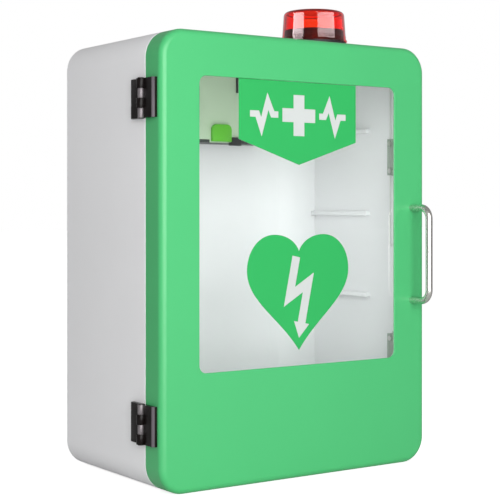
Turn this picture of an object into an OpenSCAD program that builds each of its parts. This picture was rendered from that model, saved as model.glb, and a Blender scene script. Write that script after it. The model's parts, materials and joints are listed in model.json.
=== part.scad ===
// Wall cabinet for a defibrillator: sheet-metal box, hinged door with a window, pull handle,
// magnetic catches, door sensor, battery alarm unit and a warning beacon on top.
// Frame: origin at the centre of the wall face, +X right seen from the front, -Y out of the
// wall towards the user, +Z up.

/* [Cabinet] */
// Overall width
cab_w = 335; // [332:1:420]
// Overall height without the beacon
cab_h = 450; // [440:1:520]
// Overall depth from the wall to the door front
cab_d = 198; // [190:1:240]
// Radius of the four corners seen from the front
corner_r = 27; // [26:1:34]
// Sheet thickness
sheet = 1.2; // [1:0.1:1.6]
// Gap between the body and the door
door_gap = 1; // [0.8:0.1:1.5]
// Depth of the front rim that reaches into the door
rim_depth = 15; // [12:1:18]

/* [Door] */
// Depth of the door tray
door_depth = 29.5; // [28:0.5:32]
// Radius of the rounded front edge
door_edge_r = 7; // [4:0.5:8]
// Half width of the window opening
win_half_w = 124; // [100:1:125]
// Lower edge of the window opening
win_bottom = -109.5; // [-120:0.5:-90]
// Upper edge of the window opening
win_top = 180.5; // [170:0.5:182]
// Corner radius of the window opening
win_r = 8; // [5:1:12]
// Thickness of the window pane
pane_t = 3; // [2:0.5:4]

/* [Hinges] */
// Height of a hinge
hinge_h = 38.5; // [36:0.5:50]
// Height of the hinge centres above and below mid-height
hinge_z = 158; // [130:0.5:165]
// Length of one leaf
leaf_l = 22.5; // [18:0.5:22.5]
// Thickness of a leaf
leaf_t = 4.5; // [4:0.1:4.8]
// Hinge pin radius
pin_r = 2; // [1.5:0.1:2.5]

/* [Handle] */
// Rod radius
rod_r = 3.75; // [3:0.25:5]
// Distance between the two legs
handle_span = 100; // [80:1:120]
// Distance from the door to the grip's centre line
handle_reach = 28; // [26:1:40]
// Bend radius of the centre line
handle_bend = 12; // [8:1:16]
// Distance of the legs from the middle of the door
handle_x = 148.5; // [144:0.5:150]
// Height of the handle's middle above the middle of the door
handle_z = 1.5; // [-20:0.5:20]

/* [Beacon] */
// Beacon centre to the right of the middle
beacon_x = 90.5; // [60:0.5:110]
// Beacon centre in front of the wall
beacon_y = 99; // [70:1:110]
// Base height
beacon_base_h = 12; // [10:1:18]
// Lens height
beacon_lens_h = 34; // [32:1:45]
// Lens radius at the bottom
beacon_r = 36; // [34:0.5:38]

/* [Alarm] */
// Width of the alarm unit
alarm_w = 150; // [148:1:160]
// Height of the alarm unit
alarm_h = 90; // [90:1:92]
// Front face of the alarm unit, in front of the wall
alarm_front = 40; // [40:1:44]
// Lower edge of the alarm unit
alarm_z = 124.5; // [122:0.5:126]
// Travel of the push button
button_travel = 2; // [1:0.1:2.5]

/* [Signs] */
// Middle of the signs, to the right of the middle of the door
sign_x = -2.5; // [-10:0.5:10]
// Half width of the banner
banner_half_w = 74.5; // [60:0.5:80]
// Half width of the heart
heart_half_w = 64.5; // [50:0.5:70]

/* [Fixings] */
// Distance between the wall holes, across
wall_hole_dx = 220; // [200:1:230]
// Distance between the wall holes, up
wall_hole_dz = 350; // [300:1:360]
// Wall hole radius
wall_hole_r = 4; // [3:0.25:5]

/* [Hidden] */
$fn = 64;

// Levels along Y, all negative because the front is -Y
front_y = -cab_d;
door_back_y = front_y + door_depth;
body_front_y = door_back_y + door_gap;
door_inner_y = front_y + sheet;
hinge_y = (door_back_y + body_front_y) / 2;
side_x = cab_w / 2;
inner_x = side_x - sheet;
top_z = cab_h / 2;
inner_z = top_z - sheet;
hinge_off = 5;
hinge_screw_dz = [-12, 12];
hinge_screw_y = leaf_l - 8;
hinge_x = -side_x - hinge_off;
knuckle_r = leaf_t;
link_r = 3.2;
run_gap = 0.03;
fit_gap = 0.1;

// Window stack, from the opening's turned-in edge back to the retainer
win_h = win_top - win_bottom;
win_cz = (win_top + win_bottom) / 2;
win_turn = 1.6;
retainer_in = 5;
gasket_t = 0.8;
gasket_y = front_y + win_turn + fit_gap;
pane_y = gasket_y + gasket_t;
retainer_y = pane_y + pane_t;
retainer_t = 1.5;
pane_lap = 8;
retainer_lap = 18;
stud_inset = 13.5;
stud_end_in = 15;
stud_top_x = 60;
stud_r = 2;
stud_l = 12.8;
stud_hole_r = 2.3;
nut_t = 3.2;
nut_r = 4;
vinyl_t = 0.25;

// Small screws
screw_r = 1.95;
tap_r = 2;
clear_r = 2.25;
head_r = 3.5;
head_h = 2.2;
fine_screw_r = 1.4;
fine_tap_r = 1.45;
fine_clear_r = 1.6;
fine_head_r = 2.7;
fine_head_h = 1.8;

// Front rim and seal
rim_inset = 6;
rim_front_y = body_front_y - rim_depth;
seal_w = 6;
seal_front_y = door_inner_y + 2;

// Catches and sensor
catch_z = 107.5;
catch_h = 40;
catch_x0 = inner_x - 21.8;
catch_x1 = catch_x0 + 13;
catch_front_y = door_inner_y + 3.5;
catch_back_y = front_y + 36;
catch_flange_y = catch_back_y + 14;
catch_foot_y = catch_flange_y - 6;
catch_screw_dz = 12;
cover_screw_dz = 15;
pole_t = 1.2;
magnet_t = 2.8;
magnet_h = 30;
strike_t = 1.5;
strike_h = 36;
frame_back_y = body_front_y + sheet;
sensor_x0 = inner_x - 6;
sensor_y0 = frame_back_y + 1;
sensor_mid_y = sensor_y0 + 6;
sensor_y1 = sensor_y0 + 12;
sensor_half = 32;
sensor_screw_z = 25;
sensor_head_in = 2;
sensor_cable_r = 1;
sensor_cable_x = inner_x - 2.6;
sensor_cable_y = catch_flange_y + 4;
sensor_cable_z = 10;
sensor_entry_y = -6;
sensor_entry_z = 200;

// Back panel and ledges
back_t = 1.5;
back_stud_x = [-12, 62];
back_stud_z = 165;
back_stud_l = 10;
cable_hole_x = -110;
cable_hole_z = 60;
cable_hole_r = 8;
ledge_z = [-142, -48.5, 45, 139.5];
ledge_w = 6;
ledge_h = 5;
ledge_front_y = -106;

// Alarm unit
alarm_y = -alarm_front;
alarm_wall = 2;
alarm_top = alarm_z + alarm_h;
bracket_y = -back_t - 0.2;
bracket_t = 1.8;
bracket_front_y = bracket_y - bracket_t;
boss_front_y = alarm_y + alarm_wall + 0.2;
board_y = -14.4;
board_t = 1.6;
board_x0 = -20;
board_x1 = 62;
board_foot_r = 3;
trim_h = 3.5;
alarm_screw_x = alarm_w / 2 - 6;
alarm_screw_dz = [9.5, 7];
button_x = 3.75;
button_w = 25;
button_h = 19;
button_z = alarm_z + 1.5;
button_r = 6;
bezel_w = 2.2;
button_cy = button_z + button_h / 2;
plug_x0 = 17.5;
plug_x1 = 29;
plug_lead_r = 1.8;
plug_lead_x = [13.5, 37];
key_x = 39.5;
key_z = 196.5;
key_bezel = 30;
barrel_r = 6;
sounder_x = 50;
sounder_z = 152;
sounder_r = 18;
cell_r = 7.1;
cell_l = 50;
cell_y = -27;
cell_pitch = 15;
cell_x0 = -62;
cell_z = 150;
cover_x0 = -65;
cover_x1 = -25;
cover_z0 = 146;
cover_z1 = 204;

// Beacon
beacon_z = top_z + 1;
lens_z = beacon_z + beacon_base_h - 1;
lens_top = top_z + beacon_base_h + beacon_lens_h;
lens_wall = 2;
lens_top_r = beacon_r - 2;
lens_round = 5;
beacon_pcd_r = 25;
beacon_hole_r = 6;
beacon_cable_r = 2;
beacon_entry = [60, -20];
beacon_boss_top = lens_z + 13;
flange_r = beacon_r + 1.2;
beacon_screw_a = [30, 150, 270];

// Decals
banner_side_z = 120;
banner_tip_z = 95.5;
cross_z = 146;
cross_span = 42;
heart_drop = 24;
bolt_slant = 12;
bolt_w = 0.155 * heart_half_w;
bolt_leg = 0.65 * heart_half_w;
bolt_rise = 0.11 * heart_half_w;
bolt_head = 0.25 * heart_half_w;
bolt_drop = 0.125 * heart_half_w;

// Basic shapes -----------------------------------------------------------------------------

// Rounded rectangle drawn from squares and circles so that its corners stay true arcs
module round_rect(w, h, r) {
    square([w - 2 * r, h], center = true);
    square([w, h - 2 * r], center = true);
    for (sx = [-1, 1], sy = [-1, 1])
        translate([sx * (w / 2 - r), sy * (h / 2 - r)]) circle(r);
}

// A flat shape drawn in X and Z, thick from y0 to y1
module slab(y0, y1) {
    translate([0, y1, 0]) rotate([90, 0, 0]) linear_extrude(y1 - y0) children();
}

// A flat shape drawn in X and Y, thick from z0 to z1
module layer(z0, z1) {
    translate([0, 0, z0]) linear_extrude(z1 - z0) children();
}

module block(x0, x1, y0, y1, z0, z1) {
    translate([x0, y0, z0]) cube([x1 - x0, y1 - y0, z1 - z0]);
}

module rod_y(r, y0, y1, x, z) {
    translate([x, y1, z]) rotate([90, 0, 0]) cylinder(r = r, h = y1 - y0);
}

module rod_x(r, x0, x1, y, z) {
    translate([x0, y, z]) rotate([0, 90, 0]) cylinder(r = r, h = x1 - x0);
}

module rod_z(r, z0, z1, x, y) {
    translate([x, y, z0]) cylinder(r = r, h = z1 - z0);
}

// Rounded ring that follows the cabinet's outline, from one inset to another
module outline_ring(inset0, inset1, y0, y1) {
    slab(y0, y1) difference() {
        round_rect(cab_w - 2 * inset0, cab_h - 2 * inset0, corner_r - inset0);
        round_rect(cab_w - 2 * inset1, cab_h - 2 * inset1, corner_r - inset1);
    }
}

// Ring round the window opening, from one distance outside the opening to another
module window_ring(out0, out1, y0, y1) {
    slab(y0, y1) translate([0, win_cz]) difference() {
        round_rect(2 * (win_half_w + out1), win_h + 2 * out1, win_r + out1);
        round_rect(2 * (win_half_w + out0), win_h + 2 * out0, win_r + out0);
    }
}

// Hexagon nut along Y with its bore
module nut_y(x, z, y0, bore_r) {
    difference() {
        translate([x, y0 + nut_t, z]) rotate([90, 0, 0]) cylinder(r = nut_r, h = nut_t, $fn = 6);
        rod_y(bore_r, y0 - 1, y0 + nut_t + 1, x, z);
    }
}

// Round cable along a list of points
module cable(points, r) {
    for (i = [0 : len(points) - 2]) {
        d = points[i + 1] - points[i];
        translate(points[i]) rotate([0, acos(d[2] / norm(d)), atan2(d[1], d[0])])
            cylinder(r = r, h = norm(d), $fn = 24);
    }
    for (i = [1 : len(points) - 2]) translate(points[i]) sphere(r = r, $fn = 24);
}

// Cabinet body -----------------------------------------------------------------------------

module hinge_screw_places() {
    for (sz = [-1, 1], dz = hinge_screw_dz) translate([0, 0, sz * hinge_z + dz]) children();
}

module beacon_screw_places() {
    for (a = beacon_screw_a)
        translate([beacon_x + beacon_pcd_r * cos(a), -beacon_y + beacon_pcd_r * sin(a), 0]) children();
}

module catch_screw_places() {
    for (sz = [-1, 1], dz = [-catch_screw_dz, catch_screw_dz])
        translate([0, catch_foot_y, sz * catch_z + dz]) children();
}

module cover_screw_places() {
    for (sz = [-1, 1], dz = [-cover_screw_dz, cover_screw_dz])
        translate([0, catch_back_y - 5, sz * catch_z + dz]) children();
}

module sensor_screw_places() {
    for (z = [-sensor_screw_z, sensor_screw_z]) translate([0, sensor_mid_y, z]) children();
}

module body_shell() {
    color("gainsboro") difference() {
        outline_ring(0, sheet, body_front_y, 0);
        hinge_screw_places() rod_x(clear_r, -side_x - 1, -inner_x + 1, hinge_y + hinge_screw_y, 0);
        catch_screw_places() rod_x(fine_clear_r, inner_x - 1, side_x + 1, 0, 0);
        sensor_screw_places() rod_x(fine_clear_r, inner_x - 1, side_x + 1, 0, 0);
        beacon_screw_places() rod_z(clear_r, inner_z - 1, top_z + 1, 0, 0);
        rod_z(beacon_hole_r, inner_z - 1, top_z + 1, beacon_x, -beacon_y);
    }
}

module back_panel() {
    color("whitesmoke") {
        difference() {
            slab(-back_t, 0) round_rect(2 * (inner_x - fit_gap), 2 * (inner_z - fit_gap),
                corner_r - sheet - fit_gap);
            for (sx = [-1, 1], sz = [-1, 1])
                rod_y(wall_hole_r, -back_t - 1, 1, sx * wall_hole_dx / 2, sz * wall_hole_dz / 2);
            rod_y(cable_hole_r, -back_t - 1, 1, cable_hole_x, cable_hole_z);
        }
        for (x = back_stud_x) rod_y(stud_r, -back_stud_l, -back_t + 0.5, x, back_stud_z);
    }
}

module front_frame() {
    color("gainsboro") {
        outline_ring(sheet + fit_gap, rim_inset + sheet, body_front_y, body_front_y + sheet);
        outline_ring(rim_inset, rim_inset + sheet, rim_front_y, body_front_y + 0.2);
    }
}

module door_seal() {
    mid = rim_inset + sheet / 2;
    color("dimgray") difference() {
        outline_ring(mid - seal_w / 2, mid + seal_w / 2, seal_front_y, rim_front_y + 4);
        outline_ring(rim_inset - 0.1, rim_inset + sheet + 0.1, rim_front_y - 0.1, rim_front_y + 5);
    }
}

module ledges(side) {
    for (z = ledge_z)
        block(side > 0 ? inner_x - ledge_w : -inner_x, side > 0 ? inner_x : ledge_w - inner_x,
            ledge_front_y, -back_t - 0.2, z - ledge_h / 2, z + ledge_h / 2);
}

module left_ledges() { color("gainsboro") ledges(-1); }
module right_ledges() { color("gainsboro") ledges(1); }

// Hinges -----------------------------------------------------------------------------------

// One leaf drawn round z = 0: side is 1 for the body and -1 for the door, own and other list the
// knuckles, numbered from 0 at the bottom, that this leaf and its partner carry; the body's are
// the slimmer ones
module hinge_leaf(side, own, other) {
    quarter = hinge_h / 4;
    bevel = 2.2;
    function kz(k) = -hinge_h / 2 + k * quarter;
    difference() {
        union() {
            layer(-hinge_h / 2, hinge_h / 2) translate([-side_x, hinge_y])
                polygon([[0, side * 0.5], [0, side * leaf_l], [-leaf_t + bevel, side * leaf_l],
                    [-leaf_t, side * (leaf_l - bevel)], [-leaf_t, side * 0.5]]);
            for (k = own)
                rod_z(side > 0 ? link_r : knuckle_r, kz(k) + 0.1, kz(k) + quarter - 0.1, hinge_x, hinge_y);
        }
        for (k = other) rod_z(knuckle_r + 0.5, kz(k) - 0.1, kz(k) + quarter + 0.1, hinge_x, hinge_y);
        rod_z(pin_r + run_gap, -hinge_h, hinge_h, hinge_x, hinge_y);
        for (dz = hinge_screw_dz)
            rod_x(tap_r, -side_x - leaf_t + 1, -side_x + 1, hinge_y + side * hinge_screw_y, dz);
    }
}

module upper_hinge_body_leaf() {
    color("#1c1c1e") translate([0, 0, hinge_z]) hinge_leaf(1, [0, 2], [1, 3]);
}

module lower_hinge_body_leaf() {
    color("#1c1c1e") translate([0, 0, -hinge_z]) hinge_leaf(1, [1, 3], [0, 2]);
}

module upper_hinge_door_leaf() {
    color("#1c1c1e") translate([0, 0, hinge_z]) hinge_leaf(-1, [1, 3], [0, 2]);
}

module lower_hinge_door_leaf() {
    color("#1c1c1e") translate([0, 0, -hinge_z]) hinge_leaf(-1, [0, 2], [1, 3]);
}

module hinge_pins() {
    half = hinge_h / 2;
    color("silver") for (sz = [-1, 1]) translate([0, 0, sz * hinge_z]) {
        rod_z(pin_r, -half - 0.2, half + 0.2, hinge_x, hinge_y);
        for (z = [-half - 0.7, half + 0.1]) rod_z(pin_r + 1.2, z, z + 0.6, hinge_x, hinge_y);
    }
}

// Pan head screws that go out through the side wall into a hinge leaf
module hinge_screws(y) {
    hinge_screw_places() {
        rod_x(screw_r, -side_x - leaf_t + 1.4, -inner_x + 0.2, y, 0);
        rod_x(head_r, -inner_x, -inner_x + head_h, y, 0);
    }
}

module hinge_body_screws() { color("silver") hinge_screws(hinge_y + hinge_screw_y); }
module hinge_door_screws() { color("silver") hinge_screws(hinge_y - hinge_screw_y); }

// Catches and sensor -----------------------------------------------------------------------

module catch_housings() {
    pocket_x0 = (catch_x0 + catch_x1) / 2 - magnet_t / 2 - pole_t - fit_gap;
    pocket_x1 = (catch_x0 + catch_x1) / 2 + magnet_t / 2 + pole_t + fit_gap;
    color("#cfd4d0") difference() {
        for (sz = [-1, 1]) translate([0, 0, sz * catch_z]) {
            block(catch_x0, catch_x1, catch_front_y, catch_back_y, -catch_h / 2, catch_h / 2);
            block(catch_x1 - 1, inner_x, frame_back_y + 0.6, catch_back_y, -catch_h / 2, catch_h / 2);
            block(inner_x - 2.5, inner_x, catch_back_y - 1, catch_flange_y, -catch_h / 2, catch_h / 2);
        }
        for (sz = [-1, 1]) translate([0, 0, sz * catch_z])
            block(pocket_x0, pocket_x1, catch_front_y - 1, catch_front_y + 16,
                -magnet_h / 2 - fit_gap, magnet_h / 2 + fit_gap);
        catch_screw_places() rod_x(fine_clear_r, inner_x - 4, inner_x + 1, 0, 0);
        cover_screw_places() rod_x(fine_tap_r, catch_x0 - 1, catch_x0 + 5, 0, 0);
    }
}

module catch_magnets() {
    mid = (catch_x0 + catch_x1) / 2;
    color("#4a4a4d") for (sz = [-1, 1]) translate([mid, 0, sz * catch_z])
        block(-magnet_t / 2 + 0.05, magnet_t / 2 - 0.05, catch_front_y + 1, catch_front_y + 15.8,
            -magnet_h / 2, magnet_h / 2);
}

module catch_pole_plates() {
    mid = (catch_x0 + catch_x1) / 2;
    color("silver") for (sz = [-1, 1], sx = [-1, 1]) translate([mid, 0, sz * catch_z])
        block(sx * (magnet_t + pole_t) / 2 - pole_t / 2, sx * (magnet_t + pole_t) / 2 + pole_t / 2,
            door_inner_y + strike_t + 0.3, catch_front_y + 15.8, -magnet_h / 2, magnet_h / 2);
}

module catch_screws() {
    color("silver") catch_screw_places() {
        rod_x(fine_screw_r, inner_x - 2.7, side_x - 0.1, 0, 0);
        rod_x(fine_head_r, inner_x - 2.5 - fine_head_h, inner_x - 2.5, 0, 0);
    }
    color("silver") cover_screw_places() {
        rod_x(fine_screw_r, catch_x0 - 0.2, catch_x0 + 4.5, 0, 0);
        rod_x(fine_head_r, catch_x0 - 1.4, catch_x0, 0, 0);
    }
}

module sensor_housing() {
    color("white") difference() {
        block(sensor_x0, inner_x, sensor_y0, sensor_y1, -sensor_half, sensor_half);
        block(sensor_x0 + 1.5, inner_x + 1, sensor_y0 + 1.5, sensor_y1 - 1.5,
            -sensor_screw_z + 6, sensor_screw_z - 6);
        sensor_screw_places() {
            rod_x(fine_clear_r, sensor_x0 - 1, inner_x + 1, 0, 0);
            rod_x(fine_head_r + 0.4, sensor_x0 - 1, sensor_x0 + sensor_head_in, 0, 0);
        }
        rod_y(sensor_cable_r + 0.2, sensor_y1 - 3, sensor_y1 + 1, sensor_cable_x, sensor_cable_z);
    }
}

module sensor_screws() {
    head_x = sensor_x0 + sensor_head_in;
    color("silver") sensor_screw_places() {
        rod_x(fine_screw_r, head_x - 0.2, side_x - 0.1, 0, 0);
        rod_x(fine_head_r, head_x - fine_head_h, head_x, 0, 0);
    }
}

module sensor_cable() {
    color("white") cable([[sensor_cable_x, sensor_y1 - 4, sensor_cable_z],
        [sensor_cable_x, sensor_cable_y, sensor_cable_z],
        [sensor_cable_x, sensor_cable_y, sensor_entry_z],
        [sensor_cable_x, sensor_entry_y, sensor_entry_z],
        [alarm_w / 2 - 3, sensor_entry_y, sensor_entry_z]], sensor_cable_r);
}

module cable_grommet() {
    color("#26262a") {
        rod_y(cable_hole_r - 0.2, -back_t - 0.5, -0.3, cable_hole_x, cable_hole_z);
        rod_y(cable_hole_r + 3, -back_t - 2.5, -back_t - 0.1, cable_hole_x, cable_hole_z);
    }
}

// Alarm unit -------------------------------------------------------------------------------

module alarm_screw_places() {
    for (sx = [-1, 1], z = [alarm_z + alarm_screw_dz[0], alarm_top - alarm_screw_dz[1]])
        translate([sx * alarm_screw_x, 0, z]) children();
}

module board_screw_places() {
    for (x = [board_x0 + 4, board_x1 - 4], z = [alarm_z + 14, alarm_top - 20])
        translate([x, 0, z]) children();
}

module alarm_bracket() {
    color("silver") difference() {
        union() {
            block(-alarm_w / 2 + 2.5, alarm_w / 2 - 2.5, bracket_front_y, bracket_y,
                alarm_z + 2.5, alarm_top - 2.5);
            alarm_screw_places() rod_y(3.6, boss_front_y, bracket_y, 0, 0);
            board_screw_places() rod_y(board_foot_r, board_y + 0.1, bracket_y, 0, 0);
        }
        alarm_screw_places() rod_y(fine_tap_r, boss_front_y - 1, bracket_y + 1, 0, 0);
        board_screw_places() rod_y(fine_tap_r, board_y - 1, bracket_y + 1, 0, 0);
        for (x = back_stud_x) rod_y(clear_r, bracket_front_y - 1, bracket_y + 1, x, back_stud_z);
    }
}

module alarm_nuts() {
    color("silver") for (x = back_stud_x)
        nut_y(x, back_stud_z, bracket_front_y - nut_t, stud_r + run_gap);
}

// Outline of the push button: flat bottom, round shoulders
module button_outline(grow) {
    translate([button_x, button_cy]) {
        translate([0, -button_r / 2])
            square([button_w + 2 * grow, button_h - button_r + 2 * grow], center = true);
        square([button_w - 2 * button_r, button_h + 2 * grow], center = true);
        for (sx = [-1, 1]) translate([sx * (button_w / 2 - button_r), button_h / 2 - button_r])
            circle(button_r + grow);
    }
}

module alarm_housing() {
    z0 = alarm_z + trim_h;
    color("#dfe6de") difference() {
        union() {
            block(-alarm_w / 2, alarm_w / 2, alarm_y, bracket_y, z0, alarm_top);
            block(button_x - button_w / 2 - bezel_w, button_x + button_w / 2 + bezel_w,
                alarm_y, alarm_y + alarm_wall, alarm_z + 0.2, z0 + 1);
        }
        block(-alarm_w / 2 + alarm_wall, alarm_w / 2 - alarm_wall, alarm_y + alarm_wall, 1,
            z0 - 1, alarm_top - alarm_wall);
        slab(alarm_y - 1, alarm_y + alarm_wall + 1) button_outline(0.3);
        rod_y(9.3, alarm_y - 1, alarm_y + alarm_wall + 1, key_x, key_z);
        block(cover_x0 + 4, cover_x1 - 4, alarm_y - 1, alarm_y + alarm_wall + 1,
            cover_z0 + 4, cover_z1 - 4);
        alarm_screw_places() rod_y(fine_clear_r, alarm_y - 1, alarm_y + alarm_wall + 1, 0, 0);
        for (i = [-3 : 3], j = [-3 : 3]) if (norm([i, j]) < 3.2)
            rod_y(1.2, alarm_y - 1, alarm_y + alarm_wall + 1, sounder_x + 4 * i, sounder_z + 4 * j);
        rod_z(beacon_cable_r + 0.3, alarm_top - 3, alarm_top + 1, beacon_entry[0], beacon_entry[1]);
        rod_x(sensor_cable_r + 0.3, alarm_w / 2 - alarm_wall - 1, alarm_w / 2 + 1,
            sensor_entry_y, sensor_entry_z);
    }
}

// Dark strip that closes the bottom, notched for the button and the plug
module alarm_trim() {
    color("#3a403c") difference() {
        block(-alarm_w / 2, alarm_w / 2, alarm_y - 0.6, bracket_y, alarm_z, alarm_z + trim_h - 0.1);
        block(-alarm_w / 2 + alarm_wall, alarm_w / 2 - alarm_wall, alarm_y + alarm_wall, 1,
            alarm_z + 1.5, alarm_z + 10);
        slab(alarm_y - 2, alarm_y + alarm_wall + 4) button_outline(bezel_w + 0.2);
    }
}

module alarm_screws() {
    color("silver") alarm_screw_places() {
        rod_y(fine_screw_r, alarm_y - 0.2, alarm_y + 18, 0, 0);
        rod_y(fine_head_r, alarm_y - 0.8 - fine_head_h, alarm_y - 0.7, 0, 0);
        rod_y(fine_screw_r, alarm_y - 0.8, alarm_y, 0, 0);
    }
}

module alarm_plug() {
    lead_y = alarm_y - 2.8;
    color("#141416") {
        block(plug_x0, plug_x1, alarm_y - 4.5, alarm_y - 0.7, alarm_z - 3, alarm_z + 6.5);
        rod_x(plug_lead_r, plug_lead_x[0], plug_x0 + 1, lead_y, alarm_z - 1.2);
        rod_x(plug_lead_r, plug_x1 - 1, plug_lead_x[1], lead_y, alarm_z + 0.5);
    }
}

module circuit_board() {
    color("#1f6b3a") difference() {
        block(board_x0, board_x1, board_y - board_t, board_y, alarm_z + 9, alarm_top - 15);
        board_screw_places() rod_y(fine_clear_r, board_y - 3, board_y + 1, 0, 0);
    }
}

module board_screws() {
    color("silver") board_screw_places() {
        rod_y(fine_screw_r, board_y - board_t - 0.2, board_y + 6, 0, 0);
        rod_y(fine_head_r, board_y - board_t - fine_head_h, board_y - board_t, 0, 0);
    }
}

module tact_switch() {
    y = board_y - board_t;
    color("#2a2a2e") {
        block(button_x - 3, button_x + 3, y - 4, y, button_cy - 1, button_cy + 5);
        rod_y(1.7, alarm_y + 5 + button_travel, y - 3.5, button_x, button_cy + 2);
    }
}

// Push button: cap through the housing, flange and stem behind it
module alarm_button() {
    color("#5db832") {
        slab(alarm_y - 4, alarm_y + alarm_wall + 1) button_outline(0);
        block(button_x - 15, button_x + 15, alarm_y + alarm_wall + 0.1, alarm_y + alarm_wall + 1.6,
            button_z + 6, button_z + button_h + 2);
        rod_y(2.5, alarm_y + 2, alarm_y + 5 - 0.1, button_x, button_cy + 2);
    }
}

module sounder() {
    color("#232327") difference() {
        rod_y(sounder_r, alarm_y + alarm_wall + 0.2, -22, sounder_x, sounder_z);
        rod_y(sounder_r - 4, alarm_y + alarm_wall - 1, alarm_y + alarm_wall + 3, sounder_x, sounder_z);
    }
}

module battery_tray() {
    x0 = cell_x0 - cell_r - 2;
    x1 = cell_x0 + 2 * cell_pitch + cell_r + 2;
    color("#303035") difference() {
        block(x0, x1, -34, -17, cell_z - 3, cell_z + cell_l + 3);
        for (i = [0 : 2])
            rod_z(cell_r + 0.2, cell_z - 0.5, cell_z + cell_l + 0.5, cell_x0 + i * cell_pitch, cell_y);
        block(x0 + 2, x1 - 2, -35, cell_y, cell_z - 0.5, cell_z + cell_l + 0.5);
    }
}

module batteries() {
    color("#8a6f2a") for (i = [0 : 2]) translate([cell_x0 + i * cell_pitch, cell_y, cell_z]) {
        rod_z(cell_r, 0, cell_l - 1.2, 0, 0);
        rod_z(2.7, cell_l - 1.3, cell_l, 0, 0);
    }
}

module battery_cover() {
    color("#d3dad2") difference() {
        block(cover_x0, cover_x1, alarm_y - 2, alarm_y - 0.1, cover_z0, cover_z1);
        for (i = [0 : 3]) block(cover_x0 + 12, cover_x1 - 12, alarm_y - 3, alarm_y - 1.3,
            cover_z0 + 6 + 3 * i, cover_z0 + 7.5 + 3 * i);
    }
}

module key_switch_body() {
    half = key_bezel / 2;
    color("#17171a") difference() {
        union() {
            block(key_x - half, key_x + half, alarm_y - 2, alarm_y - 0.1, key_z - half, key_z + half);
            rod_y(9, alarm_y - 1, -22, key_x, key_z);
        }
        rod_y(barrel_r + run_gap, alarm_y - 3, -24, key_x, key_z);
    }
}

module key_barrel() {
    color("silver") difference() {
        rod_y(barrel_r, alarm_y - 3, -24.2, key_x, key_z);
        block(key_x - 0.9, key_x + 0.9, alarm_y - 4, -26, key_z - 3.6, key_z + 3.6);
    }
}

module key() {
    color("silver") difference() {
        union() {
            block(key_x - 0.8, key_x + 0.8, alarm_y - 10, -27, key_z - 3.4, key_z + 3.4);
            rod_x(10, key_x - 0.8, key_x + 0.8, alarm_y - 18, key_z);
        }
        rod_x(2.6, key_x - 2, key_x + 2, alarm_y - 22, key_z);
    }
}

// Beacon -----------------------------------------------------------------------------------

module beacon_gasket() {
    color("#202024") difference() {
        rod_z(beacon_r + 1, top_z, beacon_z, beacon_x, -beacon_y);
        rod_z(beacon_hole_r, top_z - 1, beacon_z + 1, beacon_x, -beacon_y);
        beacon_screw_places() rod_z(clear_r, top_z - 1, beacon_z + 1, 0, 0);
    }
}

module beacon_base() {
    floor_z = beacon_z + 8;
    color("#1a1a1d") difference() {
        union() {
            rod_z(flange_r, beacon_z, beacon_z + 3, beacon_x, -beacon_y);
            rod_z(beacon_r, beacon_z, lens_z - 0.1, beacon_x, -beacon_y);
            rod_z(beacon_r - 3, beacon_z + 5, beacon_boss_top, beacon_x, -beacon_y);
        }
        rod_z(beacon_r - 5, floor_z, beacon_boss_top + 1, beacon_x, -beacon_y);
        rod_z(beacon_hole_r, beacon_z - 1, floor_z + 1, beacon_x, -beacon_y);
        beacon_screw_places() rod_z(tap_r, beacon_z - 1, beacon_z + 7, 0, 0);
    }
}

// Half section of the lens: straight tapered wall, rounded shoulder and flat top
module lens_section(inset) {
    r1 = beacon_r - inset;
    r2 = lens_top_r - inset;
    h = lens_top - lens_z - inset;
    round_r = lens_round - inset;
    polygon(concat([[0, 0], [r1, 0]],
        [for (a = [0 : 10 : 90]) [r2 - round_r + round_r * cos(a), h - round_r + round_r * sin(a)]],
        [[0, h]]));
}

module beacon_lens() {
    color("#e8200a", 0.6) translate([beacon_x, -beacon_y, lens_z]) difference() {
        union() {
            rotate_extrude() lens_section(0);
            cylinder(r = flange_r, h = 2);
        }
        translate([0, 0, -0.01]) rotate_extrude() lens_section(lens_wall);
    }
}

module beacon_reflector() {
    z0 = beacon_z + 10;
    color("silver") translate([beacon_x, -beacon_y, 0]) difference() {
        rod_z(beacon_r - 5.2, z0 + 12, z0 + 13.5, 0, 0);
        rod_z(11.5, z0, z0 + 20, 0, 0);
    }
}

module beacon_lamp() {
    z0 = beacon_z + 8;
    color("#d8d2c0") translate([beacon_x, -beacon_y, 0]) {
        difference() {
            rod_z(12, z0 + 0.1, z0 + 4.5, 0, 0);
            rod_z(4, z0 - 1, z0 + 4, 0, 0);
        }
        rod_z(20, z0 + 4, z0 + 5.6, 0, 0);
        rod_z(9, z0 + 5, z0 + 16, 0, 0);
        for (a = [0 : 60 : 300]) rotate([0, 0, a]) translate([4.5, -1.2, z0 + 15.9]) cube([2.4, 2.4, 0.9]);
    }
}

module beacon_screws() {
    color("silver") beacon_screw_places() {
        rod_z(screw_r, inner_z - 6, beacon_z + 6.8, 0, 0);
    }
}

module beacon_nuts() {
    color("silver") beacon_screw_places() difference() {
        translate([0, 0, inner_z - nut_t]) cylinder(r = nut_r, h = nut_t, $fn = 6);
        rod_z(screw_r + run_gap, inner_z - nut_t - 1, inner_z + 1, 0, 0);
    }
}

module beacon_cable() {
    z = inner_z - 4.6;
    color("#141416") cable([[beacon_x, -beacon_y, beacon_z + 11], [beacon_x, -beacon_y, z],
        [beacon_x, beacon_entry[1], z], concat(beacon_entry, z),
        concat(beacon_entry, alarm_top - 1)], beacon_cable_r);
}

// Door -------------------------------------------------------------------------------------

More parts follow.
